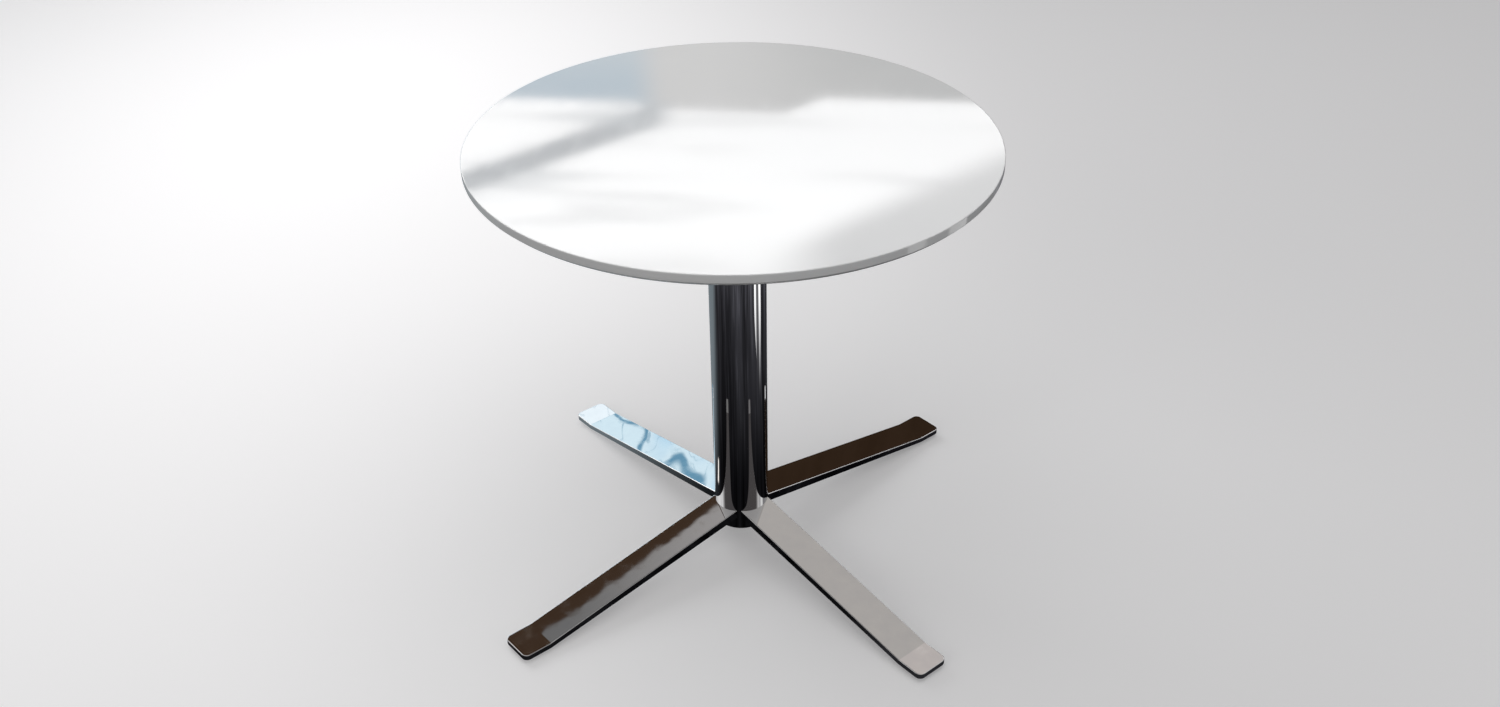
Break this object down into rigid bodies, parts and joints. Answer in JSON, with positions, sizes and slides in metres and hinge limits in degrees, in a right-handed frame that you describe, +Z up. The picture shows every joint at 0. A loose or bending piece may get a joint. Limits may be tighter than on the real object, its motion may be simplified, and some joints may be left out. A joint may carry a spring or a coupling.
{
  "type": "bistro table",
  "caption": "Round white table top on a polished round column, with a cross of sloping flat bar legs and levelling glides.",
  "frame": {"origin": "on the floor under the column's axis", "axes": "+Z up, legs on the diagonals of X and Y, -Y towards the front"},
  "size_m": [0.7999, 0.8, 0.75],
  "materials": {
    "white_lacquer": "white satin-gloss lacquer on board",
    "polished_chrome": "dark polished mirror",
    "black_steel": "black powder coat",
    "plain_steel": "turned and oiled",
    "zinc_steel": "bright zinc plate",
    "black_plastic": "moulded, fine grain"
  },
  "bodies": {
    "base": {"tabletop": "white_lacquer", "column_tube": "polished_chrome", "mounting_plate": "black_steel", "plate_collar": "black_steel", "base_hub": "plain_steel", "plate_screws": "zinc_steel", "threaded_inserts": "zinc_steel", "leg_screws": "zinc_steel", "tie_rod": "zinc_steel", "tie_rod_nut": "zinc_steel", "tie_rod_lock_nut": "zinc_steel", "tie_rod_washer": "zinc_steel", "bottom_cap": "black_plastic", "leg_back_right": "polished_chrome", "leg_back_left": "polished_chrome", "leg_front_left": "polished_chrome", "leg_front_right": "polished_chrome"},
    "foot_back_right": {"glide_foot_back_right": "black_plastic"},
    "stem_back_right": {"glide_stem_back_right": "zinc_steel"},
    "foot_back_left": {"glide_foot_back_left": "black_plastic"},
    "stem_back_left": {"glide_stem_back_left": "zinc_steel"},
    "foot_front_left": {"glide_foot_front_left": "black_plastic"},
    "stem_front_left": {"glide_stem_front_left": "zinc_steel"},
    "foot_front_right": {"glide_foot_front_right": "black_plastic"},
    "stem_front_right": {"glide_stem_front_right": "zinc_steel"}
  },
  "joints": [
    {"name": "glide_height_back_right", "type": "slide", "parent": "base", "child": "foot_back_right", "axis": [0, 0, -1], "range_m": [0, 0.004]},
    {"name": "glide_turn_back_right", "type": "hinge", "parent": "foot_back_right", "child": "stem_back_right", "pos_m": [0.31395, 0.31395, 0.008], "axis": [0, 0, -1], "range_deg": [0, 1152]},
    {"name": "glide_height_back_left", "type": "slide", "parent": "base", "child": "foot_back_left", "axis": [0, 0, -1], "range_m": [0, 0.004]},
    {"name": "glide_turn_back_left", "type": "hinge", "parent": "foot_back_left", "child": "stem_back_left", "pos_m": [-0.31395, 0.31395, 0.008], "axis": [0, 0, -1], "range_deg": [0, 1152]},
    {"name": "glide_height_front_left", "type": "slide", "parent": "base", "child": "foot_front_left", "axis": [0, 0, -1], "range_m": [0, 0.004]},
    {"name": "glide_turn_front_left", "type": "hinge", "parent": "foot_front_left", "child": "stem_front_left", "pos_m": [-0.31395, -0.31395, 0.008], "axis": [0, 0, -1], "range_deg": [0, 1152]},
    {"name": "glide_height_front_right", "type": "slide", "parent": "base", "child": "foot_front_right", "axis": [0, 0, -1], "range_m": [0, 0.004]},
    {"name": "glide_turn_front_right", "type": "hinge", "parent": "foot_front_right", "child": "stem_front_right", "pos_m": [0.31395, -0.31395, 0.008], "axis": [0, 0, -1], "range_deg": [0, 1152]}
  ],
  "couplings": [
    {"joint": "glide_height_back_right", "follows": "glide_turn_back_right", "m_per_rad": 0.00019894},
    {"joint": "glide_height_back_left", "follows": "glide_turn_back_left", "m_per_rad": 0.00019894},
    {"joint": "glide_height_front_left", "follows": "glide_turn_front_left", "m_per_rad": 0.00019894},
    {"joint": "glide_height_front_right", "follows": "glide_turn_front_right", "m_per_rad": 0.00019894}
  ]
}
